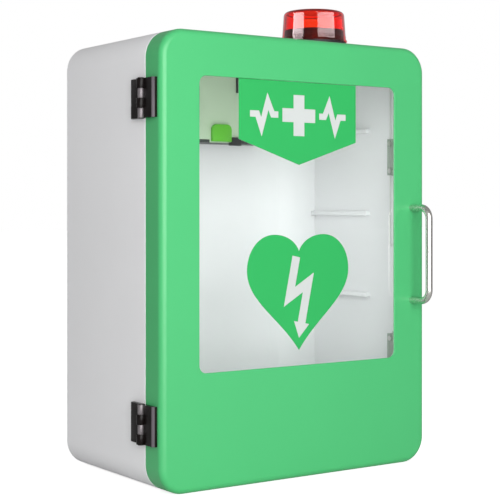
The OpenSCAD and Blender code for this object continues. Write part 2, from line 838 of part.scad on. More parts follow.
// Section of the door's edge: s runs inwards from the side, t backwards from the front
module edge_section() {
    intersection() {
        translate([door_edge_r, door_edge_r]) difference() {
            circle(door_edge_r);
            circle(door_edge_r - sheet);
        }
        square(door_edge_r);
    }
    translate([0, door_edge_r]) square([sheet, door_depth - door_edge_r]);
    translate([door_edge_r, 0]) square([corner_r - door_edge_r, sheet]);
}

module edge_bar(half, length) {
    translate([-half, front_y, -length / 2]) linear_extrude(length) edge_section();
}

module door_corner() {
    translate([cab_w / 2 - corner_r, 0, cab_h / 2 - corner_r]) rotate([90, 0, 0])
        rotate_extrude(angle = 90) translate([corner_r, cab_d]) rotate(180) edge_section();
}

// Studs' places round the window
module stud_places() {
    for (sx = [-1, 1], z = [win_bottom + stud_end_in, win_cz, win_top - stud_end_in])
        translate([sx * (win_half_w + stud_inset), 0, z]) children();
    for (sx = [-1, 1], z = [win_bottom - stud_inset, win_top + stud_inset])
        translate([sx * stud_top_x, 0, z]) children();
}

module door_panel() {
    color("#55cc82") difference() {
        union() {
            for (sx = [0, 1], sz = [0, 1]) mirror([sx, 0, 0]) mirror([0, 0, sz]) door_corner();
            for (sx = [0, 1]) mirror([sx, 0, 0]) edge_bar(cab_w / 2, cab_h - 2 * corner_r);
            for (a = [90, 270]) rotate([0, a, 0]) edge_bar(cab_h / 2, cab_w - 2 * corner_r);
            slab(front_y, door_inner_y) square([cab_w - 2 * corner_r, cab_h - 2 * corner_r], center = true);
            window_ring(0, sheet, front_y, front_y + win_turn);
        }
        slab(front_y - 1, door_inner_y + 1) translate([0, win_cz]) round_rect(2 * win_half_w, win_h, win_r);
        for (sz = [-1, 1])
            rod_y(clear_r, front_y - 1, door_inner_y + 1, handle_x, handle_z + sz * handle_span / 2);
        hinge_screw_places() rod_x(clear_r, -side_x - 1, -inner_x + 1, hinge_y - hinge_screw_y, 0);
    }
}

module window_gasket() {
    color("#dfe2df") window_ring(0.4, pane_lap + 1, gasket_y, pane_y);
}

module window_pane() {
    color("#eaf4f0", 0.25) slab(pane_y, retainer_y) translate([0, win_cz])
        round_rect(2 * (win_half_w + pane_lap), win_h + 2 * pane_lap, win_r);
}

module window_retainer() {
    color("#55cc82") difference() {
        window_ring(retainer_in, retainer_lap, retainer_y, retainer_y + retainer_t);
        stud_places() rod_y(stud_hole_r, retainer_y - 1, retainer_y + retainer_t + 1, 0, 0);
    }
}

module retainer_studs() {
    color("silver") stud_places() rod_y(stud_r, door_inner_y, door_inner_y + stud_l, 0, 0);
}

module retainer_nuts() {
    color("silver") stud_places() nut_y(0, 0, retainer_y + retainer_t, stud_r + run_gap);
}

module handle_half() {
    leg_y = front_y - handle_reach + handle_bend;
    grip_z = handle_span / 2 - handle_bend;
    rod_y(rod_r, leg_y, front_y, handle_x, handle_span / 2);
    translate([handle_x, leg_y, grip_z]) rotate([0, 90, 0]) rotate([0, 0, 180])
        rotate_extrude(angle = 90) translate([handle_bend, 0]) circle(rod_r);
    rod_z(rod_r, 0, grip_z, handle_x, front_y - handle_reach);
}

module handle() {
    color("silver") translate([0, 0, handle_z]) difference() {
        for (sz = [0, 1]) mirror([0, 0, sz]) handle_half();
        for (sz = [-1, 1]) rod_y(tap_r, front_y - 12, front_y + 1, handle_x, sz * handle_span / 2);
    }
}

module handle_screws() {
    color("silver") for (sz = [-1, 1]) translate([0, 0, handle_z + sz * handle_span / 2]) {
        rod_y(screw_r, front_y - 10, door_inner_y + 0.2, handle_x, 0);
        rod_y(head_r, door_inner_y, door_inner_y + head_h, handle_x, 0);
    }
}

module strike_plates() {
    color("silver") for (sz = [-1, 1])
        block(catch_x0, catch_x1 - 1, door_inner_y, door_inner_y + strike_t,
            sz * catch_z - strike_h / 2, sz * catch_z + strike_h / 2);
}

module sensor_magnet() {
    color("white") block(catch_x0, catch_x1 - 1, door_inner_y, door_inner_y + 9, -12, 12);
}

// Decals on the pane -----------------------------------------------------------------------

module banner_outline() {
    polygon([[-banner_half_w, win_top - 0.1], [-banner_half_w, banner_side_z], [0, banner_tip_z],
        [banner_half_w, banner_side_z], [banner_half_w, win_top - 0.1]]);
}

// Plain first-aid cross, its arms as wide as a third of its span
module cross_outline(span) {
    square([span, span / 3], center = true);
    square([span / 3, span], center = true);
}

// Heart curve as a closed formula, scaled to the wanted width
function heart_point(t) = heart_half_w * [pow(sin(t), 3),
    0.88 * cos(t) - 0.27 * cos(2 * t) - 0.11 * cos(3 * t) - 0.045 * cos(4 * t)];

module heart_outline() {
    translate([0, -heart_drop]) polygon([for (t = [0 : 6 : 354]) heart_point(t)]);
}

// Lightning arrow: two equal slanted legs joined by a rising step, the lower one with a head twice
// as wide as the stroke. The tip falls on the middle line of the heart
module bolt_outline() {
    down = [-sin(bolt_slant), -cos(bolt_slant)];
    beside = [cos(bolt_slant), -sin(bolt_slant)];
    side = bolt_w / 2 * beside;
    knee = [-(bolt_leg + bolt_head) * sin(bolt_slant), -bolt_rise];
    top = knee - bolt_leg * down;
    across = -knee / norm(knee);
    middle = (across - down) / norm(across - down);
    corner = bolt_w / 2 / sin(acos(-across * down) / 2) * middle;
    translate([0, -heart_drop - bolt_drop])
        polygon([top + side, top - side, knee - corner, -knee - corner, -top - side,
            -top - bolt_w * beside, -top + bolt_head * down, -top + bolt_w * beside,
            -top + side, corner - knee, knee + corner]);
}

// One layer of film on the pane, its back at y_back
module decal(y_back) {
    slab(y_back - vinyl_t, y_back) translate([sign_x, 0]) children();
}

module banner_backing() { color("white") decal(pane_y) banner_outline(); }
module heart_backing() { color("white") decal(pane_y) heart_outline(); }

module banner_decal() {
    color("#46d073") decal(pane_y - vinyl_t) difference() {
        banner_outline();
        translate([0, cross_z]) cross_outline(cross_span);
    }
}

module heart_decal() {
    color("#46d073") decal(pane_y - vinyl_t) difference() {
        heart_outline();
        bolt_outline();
    }
}

body_shell();
back_panel();
front_frame();
door_seal();
left_ledges();
right_ledges();
upper_hinge_body_leaf();
lower_hinge_body_leaf();
hinge_pins();
hinge_body_screws();
catch_housings();
catch_magnets();
catch_pole_plates();
catch_screws();
sensor_housing();
sensor_screws();
sensor_cable();
cable_grommet();
alarm_bracket();
alarm_nuts();
alarm_housing();
alarm_trim();
alarm_screws();
alarm_plug();
circuit_board();
board_screws();
tact_switch();
alarm_button();
sounder();
battery_tray();
batteries();
battery_cover();
key_switch_body();
key_barrel();
key();
beacon_gasket();
beacon_base();
beacon_lens();
beacon_reflector();
beacon_lamp();
beacon_screws();
beacon_nuts();
beacon_cable();
door_panel();
window_pane();
window_gasket();
window_retainer();
retainer_studs();
retainer_nuts();
handle();
handle_screws();
upper_hinge_door_leaf();
lower_hinge_door_leaf();
hinge_door_screws();
strike_plates();
sensor_magnet();
banner_backing();
banner_decal();
heart_backing();
heart_decal();
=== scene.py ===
import json
import math

import bmesh
import bpy
from mathutils import Matrix, Vector

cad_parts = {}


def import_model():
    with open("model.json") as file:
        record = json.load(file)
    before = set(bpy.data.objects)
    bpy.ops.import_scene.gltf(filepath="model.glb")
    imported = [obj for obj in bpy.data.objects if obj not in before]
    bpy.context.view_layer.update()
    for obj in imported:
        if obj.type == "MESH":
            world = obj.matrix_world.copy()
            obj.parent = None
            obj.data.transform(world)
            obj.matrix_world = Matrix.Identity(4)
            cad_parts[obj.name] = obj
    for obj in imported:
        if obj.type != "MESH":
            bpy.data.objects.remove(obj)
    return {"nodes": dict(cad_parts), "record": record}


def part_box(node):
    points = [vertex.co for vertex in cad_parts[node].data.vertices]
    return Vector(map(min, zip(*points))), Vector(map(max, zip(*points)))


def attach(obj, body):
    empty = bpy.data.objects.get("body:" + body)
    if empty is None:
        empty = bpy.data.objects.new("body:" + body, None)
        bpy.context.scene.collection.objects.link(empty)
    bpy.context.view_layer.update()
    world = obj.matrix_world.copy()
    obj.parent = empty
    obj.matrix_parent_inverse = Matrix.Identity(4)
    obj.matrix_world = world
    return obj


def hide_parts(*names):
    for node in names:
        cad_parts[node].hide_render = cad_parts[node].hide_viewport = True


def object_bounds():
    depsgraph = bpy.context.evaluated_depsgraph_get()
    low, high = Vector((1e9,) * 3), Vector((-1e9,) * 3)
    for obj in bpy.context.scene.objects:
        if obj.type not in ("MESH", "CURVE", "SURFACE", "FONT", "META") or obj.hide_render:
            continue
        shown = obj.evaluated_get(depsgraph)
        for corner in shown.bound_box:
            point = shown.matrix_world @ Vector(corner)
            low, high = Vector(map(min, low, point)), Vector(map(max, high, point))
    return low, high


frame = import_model()
cad_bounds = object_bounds()
nodes = frame["nodes"]
scene = bpy.context.scene

# Sizes in metres ---------------------------------------------------------------------------
MM = 0.001
CORNER_R = 27 * MM
SHEET = 1.2 * MM
DOOR_EDGE_R = 7 * MM
SHEET_EDGE_R = 0.35 * MM
PANE_LAP = 8 * MM
WINDOW_R = 8 * MM
WINDOW_TURN = 1.6 * MM
VINYL_T = 0.25 * MM
HANDLE_BEND = 12 * MM
CORNER_STEPS = 16
FILLET_STEPS = 10
LENS_WALL = 2 * MM
LENS_ROOF = 0.4 * MM
LENS_SHOULDER = 5 * MM
LENS_TAPER = 2 * MM
LENS_FLANGE = 1.2 * MM
RIM_BAND = 2.5 * MM
RIM_WIDTH = 7.8 * MM
LINK_R = 3.3 * MM
CROSS_SPAN = 42 * MM
CROSS_DROP = 34.4 * MM
PULSE_W = 6.5 * MM


# Mesh helpers ------------------------------------------------------------------------------
def rounded_loop(centre, half, radius, y):
    """Rounded rectangle in the XZ plane at depth y, the same number of points every time."""
    points = []
    for quadrant in range(4):
        start = quadrant * math.pi / 2
        sx = 1 if quadrant in (0, 3) else -1
        sz = 1 if quadrant in (0, 1) else -1
        cx = centre[0] + sx * (half[0] - radius)
        cz = centre[1] + sz * (half[1] - radius)
        for step in range(CORNER_STEPS + 1):
            a = start + step * math.pi / 2 / CORNER_STEPS
            points.append(Vector((cx + radius * math.cos(a), y, cz + radius * math.sin(a))))
    return points


def loft(name, loops, closed=True):
    """Mesh skinned over loops of equal length; closed joins the last loop to the first."""
    count = len(loops[0])
    verts = [p for loop in loops for p in loop]
    faces = []
    last = len(loops) if closed else len(loops) - 1
    for i in range(last):
        a, b = i * count, (i + 1) % len(loops) * count
        for j in range(count):
            k = (j + 1) % count
            faces.append((a + j, a + k, b + k, b + j))
    if not closed:
        faces.append(tuple(range(count))[::-1])
        faces.append(tuple((len(loops) - 1) * count + j for j in range(count)))
    return mesh_object(name, verts, faces)


def mesh_object(name, verts, faces):
    mesh = bpy.data.meshes.new(name)
    mesh.from_pydata([tuple(v) for v in verts], [], faces)
    piece = bpy.data.objects.new(name, mesh)
    scene.collection.objects.link(piece)
    fix_normals(mesh)
    return piece


def fix_normals(mesh):
    bm = bmesh.new()
    bm.from_mesh(mesh)
    bmesh.ops.remove_doubles(bm, verts=bm.verts, dist=1e-7)
    bmesh.ops.recalc_face_normals(bm, faces=bm.faces)
    bm.to_mesh(mesh)
    bm.free()


def revolve(name, profile, centre, steps=96):
    """Solid of revolution about the vertical through centre; profile is (radius, height) pairs."""
    loops = []
    for radius, height in profile:
        loops.append([
            Vector((
                centre[0] + radius * math.cos(2 * math.pi * s / steps),
                centre[1] + radius * math.sin(2 * math.pi * s / steps),
                centre[2] + height,
            ))
            for s in range(steps)
        ])
    return loft(name, loops)


def smooth(piece, angle=32):
    """Smooth shading that keeps real edges, weighted so that flat faces stay flat."""
    mesh = piece.data
    mesh.polygons.foreach_set("use_smooth", [True] * len(mesh.polygons))
    mesh.set_sharp_from_angle(angle=math.radians(angle))
    weighted = piece.modifiers.new("weighted", "WEIGHTED_NORMAL")
    weighted.keep_sharp = True
    return piece


def bake(piece):
    """Applies the modifiers and turns curves into meshes."""
    bpy.context.view_layer.update()
    evaluated = piece.evaluated_get(bpy.context.evaluated_depsgraph_get())
    mesh = bpy.data.meshes.new_from_object(evaluated)
    name = piece.name
    matrix = piece.matrix_world.copy()
    bpy.data.objects.remove(piece)
    mesh.transform(matrix)
    baked = bpy.data.objects.new(name, mesh)
    scene.collection.objects.link(baked)
    fix_normals(mesh)
    return baked


def tube(name, points, radius, sides=28):
    """Round bar swept along points, with flat ends."""
    loops = []
    reference = Vector((1, 0, 0))
    for i, point in enumerate(points):
        ahead = points[min(i + 1, len(points) - 1)] - points[max(i - 1, 0)]
        along = ahead.normalized()
        if abs(along.dot(reference)) > 0.95:
            reference = Vector((0, 0, 1))
        u = (reference - along * reference.dot(along)).normalized()
        w = along.cross(u)
        loops.append([
            point + radius * (u * math.cos(a) + w * math.sin(a))
            for a in (2 * math.pi * s / sides for s in range(sides))
        ])
        reference = u
    return loft(name, loops, closed=False)


def rounded_path(corners, radius, steps=10):
    """Points along straight runs with their corners rounded to radius."""
    points = [corners[0]]
    for before, corner, after in zip(corners, corners[1:], corners[2:]):
        d0 = (before - corner).normalized()
        d1 = (after - corner).normalized()
        half_angle = d0.angle(d1) / 2
        reach = radius / math.tan(half_angle)
        middle = corner + (d0 + d1).normalized() * (radius / math.sin(half_angle))
        start, end = corner + d0 * reach - middle, corner + d1 * reach - middle
        total = start.angle(end)
        for s in range(steps + 1):
            t = s / steps
            arm = (start * math.sin((1 - t) * total) + end * math.sin(t * total)) / math.sin(total)
            points.append(middle + arm)
    points.append(corners[-1])
    return points


def film(name, outlines, y_front, y_back):
    """Flat film in the XZ plane; the first outline is its edge and the others are holes."""
    curve = bpy.data.curves.new(name, "CURVE")
    curve.dimensions = "2D"
    curve.fill_mode = "BOTH"
    curve.extrude = (y_back - y_front) / 2
    for outline in outlines:
        spline = curve.splines.new("POLY")
        spline.points.add(len(outline) - 1)
        for point, (x, z) in zip(spline.points, outline):
            point.co = (x, z, 0, 1)
        spline.use_cyclic_u = True
    piece = bpy.data.objects.new(name, curve)
    scene.collection.objects.link(piece)
    piece.matrix_world = Matrix.Translation((0, (y_front + y_back) / 2, 0)) @ Matrix.Rotation(
        math.pi / 2, 4, "X"
    )
    return bake(piece)


def polish(piece, width, segments=2, angle=35):
    """Rounds a CAD node's edges and shades it smooth, without touching its own mesh."""
    weld = piece.modifiers.new("weld", "WELD")
    weld.merge_threshold = 0.005 * MM
    bevel = piece.modifiers.new("bevel", "BEVEL")
    bevel.width = width
    bevel.segments = segments
    bevel.limit_method = "ANGLE"
    bevel.angle_limit = math.radians(angle)
    bevel.harden_normals = True
    piece.data.polygons.foreach_set("use_smooth", [True] * len(piece.data.polygons))


def place(piece, body, slot, material, *replaced):
    """Names the piece's body and material and the CAD nodes that it stands for, which it hides; slot is
    not used.
    """
    piece.data.materials.clear()
    piece.data.materials.append(material)
    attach(piece, body)
    if replaced:
        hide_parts(*replaced)
    return piece


# Material helpers --------------------------------------------------------------------------
class Paint:
    """A node tree round one Principled shader, in the object's own coordinates."""

    def __init__(self, name, colour, roughness, metallic=0.0):
        self.material = bpy.data.materials.new(name)
        self.material.use_nodes = True
        self.tree = self.material.node_tree
        self.shader = self.tree.nodes["Principled BSDF"]
        self.output = self.tree.nodes["Material Output"]
        self.shader.inputs["Base Color"].default_value = (*colour, 1)
        self.shader.inputs["Roughness"].default_value = roughness
        self.shader.inputs["Metallic"].default_value = metallic
        self.coords = self.add("ShaderNodeTexCoord").outputs["Object"]
        self.normal = None

    def add(self, kind, **values):
        node = self.tree.nodes.new(kind)
        for key, value in values.items():
            if hasattr(node, key) and key not in node.inputs:
                setattr(node, key, value)
            else:
                node.inputs[key].default_value = value
        return node

    def join(self, source, target):
        self.tree.links.new(source, target)

    def noise(self, scale, detail=2.0, stretch=None):
        texture = self.add("ShaderNodeTexNoise", Scale=scale, Detail=detail)
        source = self.coords
        if stretch:
            mapping = self.add("ShaderNodeMapping")
            mapping.inputs["Scale"].default_value = stretch
            self.join(source, mapping.inputs["Vector"])
            source = mapping.outputs["Vector"]
        self.join(source, texture.inputs["Vector"])
        return texture.outputs["Fac"]

    def spread(self, factor, low, high):
        """Maps a 0 to 1 factor on to a range, for roughness and the like."""
        ramp = self.add("ShaderNodeMapRange")
        ramp.inputs["To Min"].default_value = low
        ramp.inputs["To Max"].default_value = high
        self.join(factor, ramp.inputs["Value"])
        return ramp.outputs["Result"]

    def tint(self, factor, dark, light):
        mix = self.add("ShaderNodeMix", data_type="RGBA")
        mix.inputs[6].default_value = (*dark, 1)
        mix.inputs[7].default_value = (*light, 1)
        self.join(factor, mix.inputs[0])
        self.join(mix.outputs[2], self.shader.inputs["Base Color"])
        return mix.outputs[2]

    def bump(self, height, strength, distance):
        node = self.add("ShaderNodeBump", Strength=strength, Distance=distance)
        self.join(height, node.inputs["Height"])
        if self.normal:
            self.join(self.normal, node.inputs["Normal"])
        self.normal = node.outputs["Normal"]
        self.join(self.normal, self.shader.inputs["Normal"])

    def rough(self, factor, low, high):
        self.join(self.spread(factor, low, high), self.shader.inputs["Roughness"])


def scaled(colour, factor):
    return tuple(min(1.0, c * factor) for c in colour)


def powder_coat(name, colour, roughness=0.42):
    """Fine satin powder coat: orange peel, a slight mottle and a little uneven gloss."""
    paint = Paint(name, colour, roughness)
    paint.tint(paint.noise(9, 3), scaled(colour, 0.97), scaled(colour, 1.03))
    paint.rough(paint.noise(60, 3), roughness - 0.05, roughness + 0.06)
    paint.bump(paint.noise(420, 2), 0.10, 0.0004)
    paint.bump(paint.noise(1900, 2), 0.12, 0.00012)
    return paint.material


def moulded(name, colour, roughness=0.45, grain=900):
    """Moulded plastic with a fine spark-eroded grain."""
    paint = Paint(name, colour, roughness)
    paint.tint(paint.noise(20, 2), scaled(colour, 0.95), scaled(colour, 1.05))
    paint.rough(paint.noise(120, 3), roughness - 0.06, roughness + 0.08)
    paint.bump(paint.noise(grain, 3), 0.12, 0.00015)
    return paint.material


def gloss_black(name, colour, roughness=0.24):
    paint = Paint(name, colour, roughness)
    paint.tint(paint.noise(140, 3), scaled(colour, 0.8), scaled(colour, 1.5))
    paint.rough(paint.noise(260, 4), roughness - 0.06, roughness + 0.12)
    paint.bump(paint.noise(700, 3), 0.08, 0.0002)
    return paint.material


HINGE_BLACK = (0.006, 0.004, 0.004)


def near_axis(paint, axis, radius):
    """1 within radius of an upright axis, 0 further out."""
    offset = paint.add("ShaderNodeVectorMath", operation="SUBTRACT")
    offset.inputs[1].default_value = (axis[0], axis[1], 0)
    flat = paint.add("ShaderNodeVectorMath", operation="MULTIPLY")
    flat.inputs[1].default_value = (1, 1, 0)
    away = paint.add("ShaderNodeVectorMath", operation="LENGTH")
    near = paint.add("ShaderNodeMath", operation="LESS_THAN")
    near.inputs[1].default_value = radius
    paint.join(paint.coords, offset.inputs[0])
    paint.join(offset.outputs[0], flat.inputs[0])
    paint.join(flat.outputs[0], away.inputs[0])
    paint.join(away.outputs["Value"], near.inputs[0])
    return near.outputs["Value"]


def band(paint, axis, low, high):
    """1 between two levels along an axis, fading out within 0.4 mm of each."""
    split = paint.add("ShaderNodeSeparateXYZ")
    paint.join(paint.coords, split.inputs["Vector"])
    both = paint.add("ShaderNodeMath", operation="MULTIPLY")
    for slot, (start, end) in enumerate(((low - 0.4 * MM, low), (high + 0.4 * MM, high))):
        ramp = paint.add("ShaderNodeMapRange")
        ramp.inputs["From Min"].default_value = start
        ramp.inputs["From Max"].default_value = end
        paint.join(split.outputs[axis], ramp.inputs["Value"])
        paint.join(ramp.outputs["Result"], both.inputs[slot])
    return both.outputs["Value"]


def hinge_coat(name, bare_or_highlight, metallic, colour):
    """Gloss black hinge coat with one part of another colour, which is bare metal on the knuckles and a
    painted highlight on the door leaf; the function that picks that part takes the paint.
    """
    paint = Paint(name, HINGE_BLACK, 0.26)
    paint.shader.inputs["Specular IOR Level"].default_value = 0.16
    mask = bare_or_highlight(paint)
    paint.tint(mask, HINGE_BLACK, colour)
    paint.join(paint.spread(mask, 0.0, metallic), paint.shader.inputs["Metallic"])
    paint.join(paint.spread(mask, 0.26, 0.42), paint.shader.inputs["Roughness"])
    paint.bump(paint.noise(700, 3), 0.08, 0.0002)
    return paint.material


def metal(name, colour, roughness, stretch=(1, 1, 1), anisotropy=0.0):
    """Metal with drawn or brushed lines along the axis that stretch squeezes."""
    paint = Paint(name, colour, roughness, metallic=1.0)
    lines = paint.noise(900, 4, stretch)
    paint.rough(lines, roughness - 0.05, roughness + 0.10)
    paint.tint(paint.noise(60, 3), scaled(colour, 0.93), scaled(colour, 1.04))
    paint.bump(lines, 0.06, 0.0001)
    paint.shader.inputs["Anisotropic"].default_value = anisotropy
    return paint.material


def rubber(name, colour=(0.028, 0.028, 0.030)):
    paint = Paint(name, colour, 0.62)
    paint.tint(paint.noise(80, 4), scaled(colour, 0.75), scaled(colour, 1.5))
    paint.rough(paint.noise(300, 3), 0.52, 0.75)
    paint.bump(paint.noise(1400, 3), 0.25, 0.0002)
    return paint.material


def vinyl(name, colour):
    """Self-adhesive film: smooth, half gloss, with faint waviness."""
    paint = Paint(name, colour, 0.34)
    paint.shader.inputs["Specular IOR Level"].default_value = 0.3
    paint.tint(paint.noise(14, 2), scaled(colour, 0.98), scaled(colour, 1.02))
    paint.rough(paint.noise(90, 2), 0.30, 0.40)
    paint.bump(paint.noise(160, 2), 0.05, 0.0002)
    return paint.material


def clear_sheet(name, tint, shine_scale, colour=None, density=0.0):
    """Clear sheet that lets light straight through and reflects by angle; colour fills its body."""
    paint = Paint(name, tint, 0.02)
    through = paint.add("ShaderNodeBsdfTransparent")
    through.inputs["Color"].default_value = (*tint, 1)
    shine = paint.add("ShaderNodeBsdfGlossy")
    shine.inputs["Color"].default_value = (1.0, 0.84, 0.86, 1) if colour else (1, 1, 1, 1)
    paint.join(paint.spread(paint.noise(25, 3), 0.015, 0.05), shine.inputs["Roughness"])
    fresnel = paint.add("ShaderNodeFresnel", IOR=1.45)
    geometry = paint.add("ShaderNodeNewGeometry")
    if not colour:
        paint.join(geometry.outputs["True Normal"], shine.inputs["Normal"])
        paint.join(geometry.outputs["True Normal"], fresnel.inputs["Normal"])
    facing = paint.add("ShaderNodeMapRange")
    facing.inputs["To Min"].default_value = shine_scale
    facing.inputs["To Max"].default_value = 0.0
    paint.join(geometry.outputs["Backfacing"], facing.inputs["Value"])
    reflected = edge_sheen(paint, fresnel.outputs["Fac"]) if colour else fresnel.outputs["Fac"]
    both = paint.add("ShaderNodeMath", operation="MULTIPLY")
    paint.join(reflected, both.inputs[0])
    paint.join(facing.outputs["Result"], both.inputs[1])
    mix = paint.add("ShaderNodeMixShader")
    paint.join(both.outputs["Value"], mix.inputs["Fac"])
    paint.join(through.outputs["BSDF"], mix.inputs[1])
    paint.join(shine.outputs["BSDF"], mix.inputs[2])
    paint.join(mix.outputs["Shader"], paint.output.inputs["Surface"])
    if colour:
        body = paint.add("ShaderNodeVolumeAbsorption", Density=density)
        body.inputs["Color"].default_value = (*colour, 1)
        paint.join(body.outputs["Volume"], paint.output.inputs["Volume"])
        painted_rim_shade(paint, through)
    return paint.material


def edge_sheen(paint, reflected):
    """Adds to an upright wall's reflection towards its silhouette, where the wall looks pale."""
    weight = paint.add("ShaderNodeLayerWeight", Blend=0.5)
    steep = paint.add("ShaderNodeMath", operation="POWER")
    steep.inputs[1].default_value = 3.5
    split = paint.add("ShaderNodeSeparateXYZ")
    tilt = paint.add("ShaderNodeMath", operation="ABSOLUTE")
    upright = paint.spread(tilt.outputs["Value"], 0.8, 0.0)
    more = paint.add("ShaderNodeMath", operation="MULTIPLY_ADD")
    paint.join(weight.outputs["Facing"], steep.inputs[0])
    paint.join(paint.add("ShaderNodeNewGeometry").outputs["Normal"], split.inputs["Vector"])
    paint.join(split.outputs["Z"], tilt.inputs[0])
    paint.join(steep.outputs["Value"], more.inputs[0])
    paint.join(upright, more.inputs[1])
    paint.join(reflected, more.inputs[2])
    return more.outputs["Value"]


def painted_rim_shade(paint, through):
    """Painted shade: darkens the lens round its top edge, on the side that faces the eye."""
    lo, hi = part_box("beacon_lens")
    centre = ((lo.x + hi.x) / 2, (lo.y + hi.y) / 2)
    top = band(paint, "Z", hi.z - RIM_BAND, hi.z)
    flip = paint.add("ShaderNodeMath", operation="SUBTRACT")
    flip.inputs[0].default_value = 1.0
    paint.join(near_axis(paint, centre, (hi.x - lo.x) / 2 - RIM_WIDTH), flip.inputs[1])
    rim = paint.add("ShaderNodeMath", operation="MULTIPLY")
    paint.join(top, rim.inputs[0])
    paint.join(flip.outputs["Value"], rim.inputs[1])
    facing = paint.spread(paint.add("ShaderNodeNewGeometry").outputs["Backfacing"], 1.0, 0.0)
    front_rim = paint.add("ShaderNodeMath", operation="MULTIPLY")
    paint.join(rim.outputs["Value"], front_rim.inputs[0])
    paint.join(facing, front_rim.inputs[1])
    mix = paint.add("ShaderNodeMix", data_type="RGBA")
    mix.inputs[6].default_value = (1, 1, 1, 1)
    mix.inputs[7].default_value = (0.26, 0.16, 0.16, 1)
    paint.join(front_rim.outputs["Value"], mix.inputs[0])
    paint.join(mix.outputs[2], through.inputs["Color"])


def circuit_board_coat(name):
    """Solder mask with a faint raster of copper tracks."""
    paint = Paint(name, (0.02, 0.16, 0.06), 0.35)
    bricks = paint.add("ShaderNodeTexBrick", Scale=160.0)
    bricks.inputs["Color1"].default_value = (0.02, 0.15, 0.055, 1)
    bricks.inputs["Color2"].default_value = (0.025, 0.19, 0.07, 1)
    bricks.inputs["Mortar"].default_value = (0.04, 0.28, 0.11, 1)
    mapping = paint.add("ShaderNodeMapping")
    mapping.inputs["Rotation"].default_value = (math.pi / 2, 0, 0)
    paint.join(paint.coords, mapping.inputs["Vector"])
    paint.join(mapping.outputs["Vector"], bricks.inputs["Vector"])
    paint.join(bricks.outputs["Color"], paint.shader.inputs["Base Color"])
    paint.bump(bricks.outputs["Fac"], 0.2, 0.0001)
    return paint.material


def cell_sleeve(name):
    """Plain battery sleeve: dark body with a coppery band near the top."""
    paint = Paint(name, (0.03, 0.03, 0.035), 0.3)
    split = paint.add("ShaderNodeSeparateXYZ")
    paint.join(paint.coords, split.inputs["Vector"])
    above = paint.add("ShaderNodeMath", operation="GREATER_THAN")
    above.inputs[1].default_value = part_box("batteries")[1].z - 14 * MM
    paint.join(split.outputs["Z"], above.inputs[0])
    paint.tint(above.outputs["Value"], (0.03, 0.03, 0.035), (0.55, 0.25, 0.08))
    paint.bump(paint.noise(500, 2), 0.05, 0.0001)
    return paint.material


AMBIENT = 0.34
GREEN = (0.060, 0.430, 0.150)
FILM_GREEN = (0.026, 0.375, 0.095)
WHITE = (0.850, 0.850, 0.862)

finishes = {
    "white_powder_coat": powder_coat("white_powder_coat", WHITE, 0.45),
    "green_powder_coat": powder_coat("green_powder_coat", GREEN, 0.36),
    "black_hinge_coat": gloss_black("black_hinge_coat", HINGE_BLACK),
    "zinc_steel": metal("zinc_steel", (0.62, 0.62, 0.60), 0.34),
    "stainless": metal("stainless", (0.69, 0.67, 0.64), 0.24, (1, 1, 0.03), 0.4),
    "seal_rubber": rubber("seal_rubber"),
    "pale_rubber": rubber("pale_rubber", (0.70, 0.76, 0.72)),
    "grey_plastic": moulded("grey_plastic", (0.32, 0.37, 0.32), 0.5),
    "ferrite": rubber("ferrite", (0.05, 0.05, 0.052)),
    "white_plastic": moulded("white_plastic", (0.80, 0.81, 0.79), 0.4),
    # alarm_plastic is white plastic given a darker green-grey colour: painted shade from the door's top
    # rim and the banner, with a painted green cast of light thrown back from the door.
    "alarm_plastic": moulded("alarm_plastic", (0.58, 0.74, 0.53), 0.5),
    "dark_plastic": moulded("dark_plastic", (0.045, 0.055, 0.050), 0.45),
    "black_plastic": gloss_black("black_plastic", (0.016, 0.016, 0.018), 0.36),
    "circuit_laminate": circuit_board_coat("circuit_laminate"),
    "lime_plastic": moulded("lime_plastic", (0.13, 0.62, 0.024), 0.3),
    "cell_wrap": cell_sleeve("cell_wrap"),
    "nickel": metal("nickel", (0.74, 0.72, 0.67), 0.16),
    "red_lens": clear_sheet("red_lens", (1, 1, 1), 1.2, (0.995, 0.411, 0.002), 1410),
    "lamp_board": moulded("lamp_board", (0.80, 0.78, 0.68), 0.4),
    "window_clear": clear_sheet("window_clear", (0.980, 0.992, 0.988), 2.0),
    "white_vinyl": vinyl("white_vinyl", (0.52, 0.545, 0.535)),
    "green_vinyl": vinyl("green_vinyl", FILM_GREEN),
}

# CAD nodes: every one takes the finish of its slot, and small edge radii
EDGE_WIDTHS = {
    "upper_hinge_body_leaf": 0.35, "lower_hinge_body_leaf": 0.35,
    "upper_hinge_door_leaf": 0.35, "lower_hinge_door_leaf": 0.35,
    "alarm_housing": 1.0, "alarm_trim": 0.4, "alarm_button": 0.7, "battery_cover": 0.5,
    "key_switch_body": 0.8, "key_barrel": 0.3, "key": 0.2, "alarm_plug": 0.6,
    "catch_housings": 0.8, "sensor_housing": 0.4, "sensor_magnet": 1.0, "strike_plates": 0.2,
    "cable_grommet": 0.5, "window_gasket": 0.1, "left_ledges": 0.4, "right_ledges": 0.4,
    "beacon_base": 0.6,
    "beacon_gasket": 0.2, "beacon_lamp": 0.2, "battery_tray": 0.3, "batteries": 0.3,
    "window_retainer": 0.2, "window_pane": 0.3, "front_frame": 0.2, "back_panel": 0.2,
    "hinge_pins": 0.2, "retainer_nuts": 0.25, "alarm_nuts": 0.25, "beacon_nuts": 0.25,
}
for row in frame["record"]["subparts"]:
    node = nodes[row["node"]]
    node.data.materials.clear()
    node.data.materials.append(finishes[row["material_slot"]])
for name, width in EDGE_WIDTHS.items():
    polish(nodes[name], width * MM)
pin_lo, pin_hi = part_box("hinge_pins")
pin_axis = ((pin_lo.x + pin_hi.x) / 2, (pin_lo.y + pin_hi.y) / 2)
leaf_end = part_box("upper_hinge_door_leaf")[0].y


